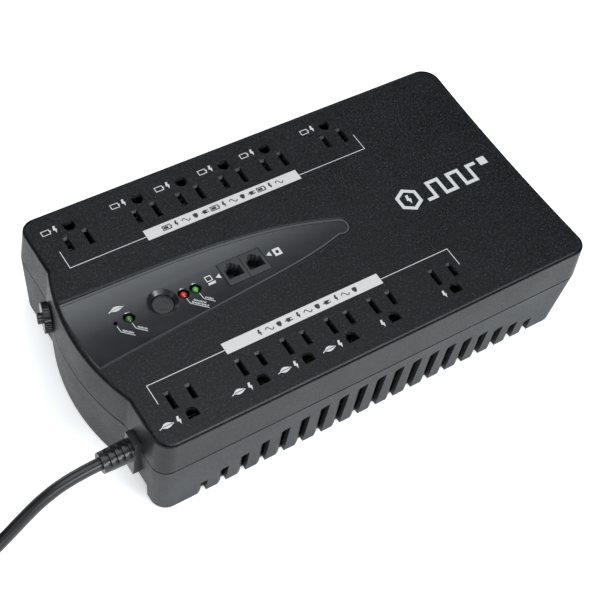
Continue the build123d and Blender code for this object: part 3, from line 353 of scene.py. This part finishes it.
GOLD = metal("contact_gold", (0.95, 0.72, 0.32), 0.22, stretch=(1, 8, 1), scratch=0.2)
BREAKER = plastic("breaker_plastic", (0.008, 0.008, 0.009), 0.22, grain=0.35, depth=0.010)
CORD = plastic("cord_rubber", (0.0080, 0.0080, 0.0088), 0.33, grain=0.8, speckle=0.18)
BLADE = metal("blade_brass", (0.83, 0.66, 0.40), 0.25, stretch=(9, 1, 1), scratch=0.25)
CORE_SKIN = plastic("core_insulation", (0.60, 0.60, 0.58), 0.5, grain=0.6, speckle=0.06)
BATTERY = plastic("battery_case", (0.045, 0.047, 0.052), 0.48, grain=0.6, depth=0.03)
TIN = metal("terminal_tin", (0.72, 0.71, 0.68), 0.36)
BOOT = plastic("boot_vinyl", (0.42, 0.03, 0.025), 0.42, grain=0.8, speckle=0.10)
BLACK_LEAD = plastic("black_lead", (0.014, 0.014, 0.014), 0.4, grain=0.7, speckle=0.14)
RED_LEAD = plastic("red_lead", (0.45, 0.02, 0.018), 0.4, grain=0.7)
CORE_STEEL = layered_look("core_steel", (0.30, 0.29, 0.28), (0.05, 0.05, 0.05), pitch=0.7,
                          axis="Y", rough=0.42, depth=0.05, metallic=1.0)
TAPE = layered_look("winding_tape", (0.62, 0.46, 0.10), (0.42, 0.27, 0.04), pitch=2.4,
                    axis="Z", rough=0.38, depth=0.06)
BRACKET = metal("bracket_steel", (0.56, 0.56, 0.56), 0.4, stretch=(1, 6, 1))
FIN = metal("fin_aluminium", (0.78, 0.79, 0.80), 0.42, stretch=(1, 1, 8))
EPOXY = plastic("epoxy_black", (0.018, 0.018, 0.019), 0.46, grain=0.3, speckle=0.15)
SLEEVE = plastic("can_sleeve", (0.015, 0.030, 0.11), 0.28, grain=0.9, depth=0.01, speckle=0.08)
RELAY = plastic("relay_case", (0.020, 0.065, 0.16), 0.36, depth=0.015, speckle=0.10)
GLASS = glass_look("fuse_glass")
BLOCK = plastic("block_plastic", (0.05, 0.22, 0.09), 0.42, speckle=0.10)
VARISTOR = plastic("varistor_epoxy", (0.03, 0.12, 0.32), 0.38, grain=0.6, speckle=0.10)
CHOKE = layered_look("choke_wire", (0.55, 0.22, 0.07), (0.12, 0.03, 0.01), pitch=1.3,
                     axis="X", rough=0.3, depth=0.10, metallic=0.6)

LOOKS = {
    "top_cover": COVER, "bottom_tray": TRAY, "battery_door": TRAY,
    "front_label": LABEL, "rear_label": LABEL, "rubber_feet": RUBBER_FOOT, "case_screws": SCREW,
    "control_panel": PANEL, "panel_trim": TRIM, "control_board": BOARD, "board_screws": SCREW,
    "button_bezel": PANEL, "power_button": BUTTON, "power_switch": SWITCH,
    "red_lamp": RED_LENS, "green_lamps": GREEN_LENS, "eco_switch": SWITCH, "eco_plunger": SWITCH,
    "modular_jack": JACK, "jack_contacts": GOLD,
    "breaker_body": BREAKER, "breaker_nut": BREAKER, "breaker_button": BREAKER,
    "strain_relief": CORD, "power_cord": CORD, "cord_coil": CORD, "cord_tie": CORD,
    "cord_tail": CORD,
    "plug_body": CORD, "plug_blades": BLADE, "mains_cores": CORE_SKIN,
    "battery": BATTERY, "battery_terminals": TIN, "terminal_boots": BOOT,
    "negative_lead": BLACK_LEAD, "positive_lead": RED_LEAD,
    "transformer_core": CORE_STEEL, "transformer_winding": TAPE, "transformer_bracket": BRACKET,
    "power_board": BOARD, "heatsinks": FIN, "power_transistors": EPOXY, "capacitors": SLEEVE,
    "relays": RELAY, "fuse": GLASS, "terminal_block": BLOCK, "buzzer": EPOXY,
    "surge_board": BOARD, "varistors": VARISTOR, "surge_choke": CHOKE,
}
for row in ("front", "rear"):
    LOOKS[row + "_outlet_housing"] = HOUSING
    for strip in ("hot", "neutral", "ground"):
        LOOKS[row + "_" + strip + "_busbar"] = BRASS

for name, node in NODES.items():
    for material_slot in node.material_slots:
        material_slot.material = LOOKS[name]

# ---------------------------------------------------------------- mains cord

CORD_D = 7.5
CORD_EXIT = (-163.0, -60.5, 42.0)
RUN_OUT = [
    CORD_EXIT, (-184.0, -60.5, 42.0), (-204.5, -61.2, 33.5), (-221.5, -63.0, 19.5),
    (-239.5, -65.8, 7.8), (-259.0, -68.2, 4.2), (-277.0, -69.0, 4.35),
]
COIL_CENTRE = (-288.0, -16.0)
COIL_LOW, COIL_HIGH = 4.35, 11.85
COIL_OUTER = 53.0
COIL_STEP = 15.0
COIL_END = 2250.0
COIL_SHIFTS = [  # from angle, to angle, change of radius in cord widths
    (310.0, 360.0, -1), (670.0, 720.0, -1), (1030.0, 1080.0, -1),
    (1630.0, 1690.0, 1), (1990.0, 2050.0, 1),
]
COIL_RISE = (1330.0, 1390.0)
TAIL = [(-333.5, -12.0), (-334.4, 0.0), (-336.7, 13.0), (-339.7, 25.0)]


def eased(value, start, end):
    share = min(1.0, max(0.0, (value - start) / (end - start)))
    return share * share * (3 - 2 * share)


def coil_points():
    """The coil's turns seen from above: clockwise, inward below, then outward on top."""
    points = []
    for step in range(int(COIL_END / COIL_STEP) + 1):
        turned = step * COIL_STEP
        radius = COIL_OUTER + sum(CORD_D * way * eased(turned, start, end)
                                  for start, end, way in COIL_SHIFTS)
        angle = math.radians(-90.0 - turned)
        height = COIL_LOW + (COIL_HIGH - COIL_LOW) * eased(turned, *COIL_RISE)
        points.append((COIL_CENTRE[0] + radius * math.cos(angle),
                       COIL_CENTRE[1] + radius * math.sin(angle), height))
    return points


def make_cord():
    route = RUN_OUT + coil_points() + [(x, y, COIL_HIGH) for x, y in TAIL]
    curve = bpy.data.curves.new("mains_cord", "CURVE")
    curve.dimensions = "3D"
    spline = curve.splines.new("NURBS")
    spline.points.add(len(route) - 1)
    for point, place_mm in zip(spline.points, route):
        point.co = (*(value * MM for value in place_mm), 1.0)
    spline.order_u = 3
    spline.use_endpoint_u = True
    spline.resolution_u = 5
    curve.bevel_depth = CORD_D / 2 * MM
    curve.bevel_resolution = 5
    curve.use_fill_caps = True
    cord = add_object("mains_cord", curve)
    curve.materials.append(CORD)
    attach(cord, "case")
    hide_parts("power_cord", "cord_coil", "cord_tail")


make_cord()

# ---------------------------------------------------------------- printed marks

RAY_START = 0.2  # metres, above everything on the case
MITRE_LIMIT = 0.35
INK_PROUD, INK_SUNK = 0.035, 0.05


def height_over(*names):
    """A function that gives the height in millimetres of these nodes' top surface."""
    trees = []
    for name in names:
        mesh = NODES[name].data
        trees.append(BVHTree.FromPolygons([v.co for v in mesh.vertices],
                                          [p.vertices for p in mesh.polygons]))

    def height(x, y):
        start = Vector((x * MM, y * MM, RAY_START))
        hits = [tree.ray_cast(start, Vector((0, 0, -1)))[0] for tree in trees]
        return max(hit.z for hit in hits if hit is not None) / MM

    return height


def moved(shape, x, y, turn=0.0, size=1.0):
    c, s = math.cos(math.radians(turn)) * size, math.sin(math.radians(turn)) * size
    return [(x + px * c - py * s, y + px * s + py * c) for px, py in shape]


def moved_all(shapes, x, y, turn=0.0, size=1.0):
    return [moved(shape, x, y, turn, size) for shape in shapes]


def stroke(points, width, closed=False):
    """Quads along a line through the points, joined by mitres."""
    count = len(points)
    sides = []
    for i, (x, y) in enumerate(points):
        before = points[i - 1] if i or closed else None
        after = points[(i + 1) % count] if i < count - 1 or closed else None
        ways = [(Vector(b) - Vector(a)).normalized()
                for a, b in ((before, (x, y)), ((x, y), after)) if a and b]
        along = sum(ways, Vector((0, 0))).normalized()
        across = Vector((-along.y, along.x))
        reach = width / 2 / max(MITRE_LIMIT, across.dot(Vector((-ways[0].y, ways[0].x))))
        sides.append(((x + across.x * reach, y + across.y * reach),
                      (x - across.x * reach, y - across.y * reach)))
    pairs = list(zip(sides, sides[1:] + sides[:1] if closed else sides[1:]))
    return [[a[1], b[1], b[0], a[0]] for a, b in pairs]


def box_shape(x0, y0, x1, y1):
    return [(x0, y0), (x1, y0), (x1, y1), (x0, y1)]


def arc(x, y, radius, start, end, steps):
    return [(x + radius * math.cos(math.radians(start + (end - start) * i / steps)),
             y + radius * math.sin(math.radians(start + (end - start) * i / steps)))
            for i in range(steps + 1)]


def finer(points, step):
    """The same line with a point at least every step millimetres."""
    result = [points[0]]
    for a, b in zip(points, points[1:]):
        parts = max(1, math.ceil(math.dist(a, b) / step))
        result += [(a[0] + (b[0] - a[0]) * i / parts, a[1] + (b[1] - a[1]) * i / parts)
                   for i in range(1, parts + 1)]
    return result


def print_piece(name, shapes, height, material, body, proud=INK_PROUD, sunk=INK_SUNK):
    """One thin printed piece: each shape becomes a plate that follows the surface under it."""
    verts, faces = [], []
    for shape in shapes:
        first, count = len(verts), len(shape)
        for lift in (proud, -sunk):
            verts += [(x * MM, y * MM, (height(x, y) + lift) * MM) for x, y in shape]
        faces.append(list(range(first, first + count)))
        faces.append(list(range(first + 2 * count - 1, first + count - 1, -1)))
        for i in range(count):
            j = (i + 1) % count
            faces.append([first + i, first + count + i, first + count + j, first + j])
    mesh = bpy.data.meshes.new(name)
    mesh.from_pydata(verts, [], faces)
    mesh.validate()
    mesh.update()
    piece = add_object(name, mesh)
    mesh.materials.append(material)
    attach(piece, body)


def print_on_case(name, shapes, height, ink=INK):
    print_piece(name, shapes, height, ink, "case")


# Pictograms, each about its own middle, in millimetres.


def battery_icon(width=5.0, high=3.2, line=0.5, level=0.0):
    """A battery lying down, filled from the left to a share of its length."""
    x, y = width / 2, high / 2
    knob_x, knob_y, knob_length = x + line * 0.4, y * 0.42, 0.55
    shapes = stroke([(-x, -y), (x, -y), (x, y), (-x, y)], line, True)
    shapes.append(box_shape(knob_x, -knob_y, knob_x + knob_length, knob_y))
    if level:
        inside = (width - 2 * line) * level
        shapes.append(box_shape(-x + line, -y + line, -x + line + inside, y - line))
    return shapes


BOLT_HIGH = 5.2


def bolt_icon(high=BOLT_HIGH):
    s = high / BOLT_HIGH
    upper = [(-0.5, 2.6), (-1.25, -0.3), (0.35, 0.55), (0.9, 2.6)]
    lower = [(-0.35, -0.55), (0.1, -2.6), (1.25, 0.3), (0.35, 0.55)]
    waist = [(-1.25, -0.3), (-0.35, -0.55), (0.35, 0.55)]
    return [[(x * s, y * s) for x, y in shape] for shape in (upper, lower, waist)]


LEAF_STEPS = 10
LEAF_HIGH, LEAF_LOW = 1.45, 0.85  # height above the vein, and the lower half's share of it
LEAF_GAP = 0.22  # from the vein to each half


def leaf_icon(length=5.6, line=0.42):
    """A leaf with an open vein and a stalk, pointing right."""
    half = length / 2
    edge = [(-half + length * i / LEAF_STEPS,
             LEAF_HIGH * math.sin(math.pi * (i / LEAF_STEPS) ** 0.8))
            for i in range(LEAF_STEPS + 1)]
    shapes = []
    for (x0, y0), (x1, y1) in zip(edge, edge[1:]):
        foot = LEAF_GAP if y0 > LEAF_GAP and y1 > LEAF_GAP else 0.0
        low0, low1 = min(-y0 * LEAF_LOW, -LEAF_GAP), min(-y1 * LEAF_LOW, -LEAF_GAP)
        shapes.append([(x0, foot), (x1, foot), (x1, max(y1, LEAF_GAP)), (x0, max(y0, LEAF_GAP))])
        shapes.append([(x0, low0), (x1, low1), (x1, -LEAF_GAP * 0.5), (x0, -LEAF_GAP * 0.5)])
    shapes += stroke([(-half - 1.3, -0.5), (-half + 0.3, 0.0)], line)
    return shapes


def wave_icon():
    width, high, line, steps = 5.4, 2.6, 0.6, 16
    points = [(width * (i / steps - 0.5), high / 2 * math.sin(math.tau * i / steps))
              for i in range(steps + 1)]
    return stroke(points, line)


def shield_icon():
    h = 1.9  # half its height
    return [[(-0.82 * h, 0.75 * h), (0.0, h), (0.82 * h, 0.75 * h), (0.78 * h, -0.1 * h),
             (0.45 * h, -0.65 * h), (0.0, -h), (-0.45 * h, -0.65 * h), (-0.78 * h, -0.1 * h)]]


def plug_icon():
    line, pin = 0.62, 0.45
    return [box_shape(-1.5, -1.3, 0.9, 1.3), box_shape(0.9, pin, 2.4, pin + line),
            box_shape(0.9, -pin - line, 2.4, -pin), box_shape(-2.7, -line / 2, -1.5, line / 2)]


OUTLET_X = [-118.8, -73.8, -43.8, -13.8, 16.2, 61.2]
ICON_Y = 72.4
BATTERY_DX, BOLT_DX, LEAF_DX = -14.6, -8.6, -15.4
LEAF_SIZE = 1.3
ECO_OUTLETS = 4
top_height = height_over("top_cover")


def top_icons():
    shapes = []
    for index, x in enumerate(OUTLET_X):
        shapes += moved_all(battery_icon(), x + BATTERY_DX, ICON_Y + 0.2)
        shapes += moved_all(bolt_icon(), x + BOLT_DX, ICON_Y + 0.3)
        shapes += moved_all(bolt_icon(), x + BOLT_DX, -ICON_Y)
        if index < ECO_OUTLETS:
            shapes += moved_all(leaf_icon(), x + LEAF_DX, -ICON_Y, size=LEAF_SIZE)
    return shapes


print_on_case("outlet_pictograms", top_icons(), top_height)

# Thin brackets from the ends of the two label strips round the battery and the surge rows.
BRACKET_X0, BRACKET_X1 = -132.4, 74.0
BRACKET_REAR_Y, BRACKET_FRONT_Y = 43.9, -45.6
BRACKET_LEG = 13.0
BRACKET_LINE = 0.45
STRIP_X0, STRIP_X1 = -82.9, 24.4


def brackets():
    shapes = []
    for y, way in ((BRACKET_REAR_Y, 1), (BRACKET_FRONT_Y, -1)):
        left = [(STRIP_X0, y), (BRACKET_X0, y), (BRACKET_X0, y + way * BRACKET_LEG)]
        right = [(STRIP_X1, y), (BRACKET_X1, y), (BRACKET_X1, y + way * BRACKET_LEG)]
        for line in (left, right):
            shapes += stroke(line, BRACKET_LINE)
    return shapes


print_on_case("outlet_brackets", brackets(), top_height)


def icon_row(x0, x1, icons, y):
    shapes = []
    for i, icon in enumerate(icons):
        shapes += moved_all(icon, x0 + (x1 - x0) * (i + 0.5) / len(icons), y)
    return shapes


SHORT_ROW = [bolt_icon(4.6), wave_icon(), shield_icon(), plug_icon()]
LONG_ROW = [battery_icon(5.2, 3.0, 0.62, 0.75)] + SHORT_ROW
REAR_ROW_X, FRONT_ROW_X = (-72.0, 13.5), (-62.5, 9.5)
ROW_Y = 44.8
print_on_case("rear_strip_print", icon_row(*REAR_ROW_X, LONG_ROW * 2 + LONG_ROW[:3], ROW_Y),
              height_over("rear_label"), DARK_INK)
print_on_case("front_strip_print", icon_row(*FRONT_ROW_X, SHORT_ROW * 2 + SHORT_ROW[:3], -ROW_Y),
              height_over("front_label"), DARK_INK)

MARK_X, MARK_Y = 75.5, -3.4
MARK_R = 7.6
MARK_LINE, WAVE_LINE = 2.3, 2.4
WAVE_X = [86.5, 93.0, 101.0, 109.0, 117.0, 125.0, 131.5]
WAVE_LOW, WAVE_HIGH = -9.2, 2.4


def maker_mark():
    """A plain mark of no maker: a hexagon, then a square wave that ends in a block."""
    hexagon = [(MARK_R * math.cos(math.radians(a)), MARK_R * math.sin(math.radians(a)))
               for a in range(30, 390, 60)]
    shapes = moved_all(stroke(hexagon, MARK_LINE, True), MARK_X, MARK_Y)
    shapes += moved_all(bolt_icon(7.2), MARK_X, MARK_Y)
    wave = []
    for index, (x0, x1) in enumerate(zip(WAVE_X, WAVE_X[1:])):
        y = WAVE_HIGH if index % 2 else WAVE_LOW
        wave += [(x0, y), (x1, y)]
    shapes += stroke(wave, WAVE_LINE)
    shapes.append(box_shape(134.2, -1.2, 140.2, 4.8))
    return shapes


print_on_case("maker_mark", maker_mark(), top_height)

# Control panel: leader lines at 45 degrees with a row of short strokes along each.
panel_height = height_over("control_panel", "top_cover", "modular_jack")
LEADERS = [  # start, end of the upright leg, run to the right and down
    ((-118.5, -3.6), (-118.3, -8.2), 5.0),
    ((-127.0, -2.3), (-126.8, -6.5), 5.9),
    ((-83.1, -3.7), (-82.9, -7.8), 8.0),
    ((-74.7, -4.0), (-74.4, -8.6), 4.8),
]
RED_LEADER = 2  # the leader with two rows of strokes
LEADER_LINE = 0.42
STROKE_PITCH, STROKE_HALF = 0.85, 0.26
STROKE_TALL, STROKE_SHORT = 1.15, 0.7


def leader_marks():
    shapes = []
    for index, (start, bend, run) in enumerate(LEADERS):
        end = (bend[0] + run, bend[1] - run)
        shapes += stroke(finer([start, bend, end], 1.5), LEADER_LINE)
        rows = 2 if index == RED_LEADER else 1
        for row in range(rows):
            aside = 1.25 + row * 1.75
            length = run * math.sqrt(2) - 1.0 - row * 2.6
            for i in range(int(length / STROKE_PITCH)):
                along = 0.9 + row * 0.6 + i * STROKE_PITCH
                x = bend[0] + (along + aside) * math.sqrt(0.5)
                y = bend[1] - (along - aside) * math.sqrt(0.5)
                tall = STROKE_TALL if (i * 7 + index * 3 + row) % 4 else STROKE_SHORT
                mark = box_shape(-STROKE_HALF, -tall / 2, STROKE_HALF, tall / 2)
                shapes.append(moved(mark, x, y, -45.0))
    return shapes


def panel_icons():
    """A leaf by the pin-hole; a computer, two arrowheads and a wall jack by the sockets."""
    shapes = moved_all(leaf_icon(7.0, 0.6), -121.4, 8.2, 0.0, 1.15)
    shapes += stroke(box_shape(-66.8, 0.6, -63.2, 4.0), 0.6, True)
    shapes.append([(-67.4, -2.1), (-62.4, -2.1), (-61.9, -0.5), (-66.7, -0.5)])
    shapes.append([(-60.8, 1.0), (-57.8, -0.8), (-57.8, 2.8)])
    shapes.append([(-26.2, 1.0), (-23.2, -0.8), (-23.2, 2.8)])
    shapes += stroke(box_shape(-20.6, -1.4, -17.2, 2.4), 1.5, True)
    return shapes


print_on_case("leader_marks", leader_marks(), panel_height)
print_on_case("panel_pictograms", panel_icons(), panel_height)

# The raised ring and bar on the button.
BUTTON_X = -96.3
RING_R, RING_LINE = 2.9, 0.8
RING_START, RING_END = 130.0, 410.0
BAR_HALF, BAR_LOW, BAR_HIGH = 0.4, 0.8, 4.0
SYMBOL_PROUD, SYMBOL_SUNK = 0.22, 0.1


def power_symbol():
    ring = stroke(arc(BUTTON_X, 0.0, RING_R, RING_START, RING_END, 24), RING_LINE)
    return ring + [box_shape(BUTTON_X - BAR_HALF, BAR_LOW, BUTTON_X + BAR_HALF, BAR_HIGH)]


print_piece("power_symbol", power_symbol(), height_over("power_button"), BUTTON,
            "power_button", SYMBOL_PROUD, SYMBOL_SUNK)

# ---------------------------------------------------------------- floor and light


FLOOR_HALF = 6.0
FLOOR_GLOW = 0.42
LIGHT_COLOUR = (0.92, 0.965, 1.0)
WORLD_COLOUR = (0.93, 0.96, 1.0, 1.0)
WORLD_STRENGTH = 0.06
LIGHTS = [  # name, place, aim, width and height in metres, watts
    ("near_key", (-0.2, -2.0, 1.1), (0.0, 0.0, 0.03), (2.8, 0.9), 42.0),
    ("near_strip", (0.8, -2.0, 1.25), (0.0, 0.0, 0.07), (1.1, 0.3), 26.0),
    ("left_fill", (-2.1, -0.2, 0.95), (0.0, 0.0, 0.03), (1.0, 0.9), 4.0),
    ("overhead", (-0.1, 0.09, 1.6), (-0.1, 0.09, 0.0), (1.8, 1.33), 20.0),
    ("far_low", (0.3, 1.9, 0.6), (0.0, 0.0, 0.03), (2.2, 0.6), 12.0),
]


def make_floor():
    """A broad pale sheet with a faint tooth."""
    material, tree, shader = new_material("floor_paper")
    tooth = noise(tree, 1.5, 3.0, 0.6)
    set_colour(tree, shader, mix_colour(tree, tooth, (0.88, 0.88, 0.88), (0.93, 0.93, 0.93)))
    shader.inputs["Roughness"].default_value = 0.9
    shader.inputs["Emission Color"].default_value = (1.0, 1.0, 1.0, 1.0)
    shader.inputs["Emission Strength"].default_value = FLOOR_GLOW
    add_bump(tree, shader, tooth, 0.02)
    mesh = bpy.data.meshes.new("floor")
    corners = box_shape(-FLOOR_HALF, -FLOOR_HALF, FLOOR_HALF, FLOOR_HALF)
    mesh.from_pydata([(x, y, 0) for x, y in corners], [], [(0, 1, 2, 3)])
    mesh.materials.append(material)
    add_object("floor", mesh)


def soft_light(name, place_m, aim, size, power):
    data = bpy.data.lights.new(name, "AREA")
    data.color = LIGHT_COLOUR
    data.shape = "RECTANGLE"
    data.size, data.size_y = size
    data.energy = power
    lamp = add_object(name, data)
    lamp.location = place_m
    lamp.rotation_euler = (Vector(aim) - Vector(place_m)).to_track_quat("-Z", "Y").to_euler()


def make_lights():
    world = bpy.data.worlds.new("studio")
    world.use_nodes = True
    background = world.node_tree.nodes["Background"]
    background.inputs["Color"].default_value = WORLD_COLOUR
    background.inputs["Strength"].default_value = WORLD_STRENGTH
    bpy.context.scene.world = world
    for light in LIGHTS:
        soft_light(*light)


make_floor()
make_lights()
bpy.context.scene.view_settings.view_transform = "Standard"
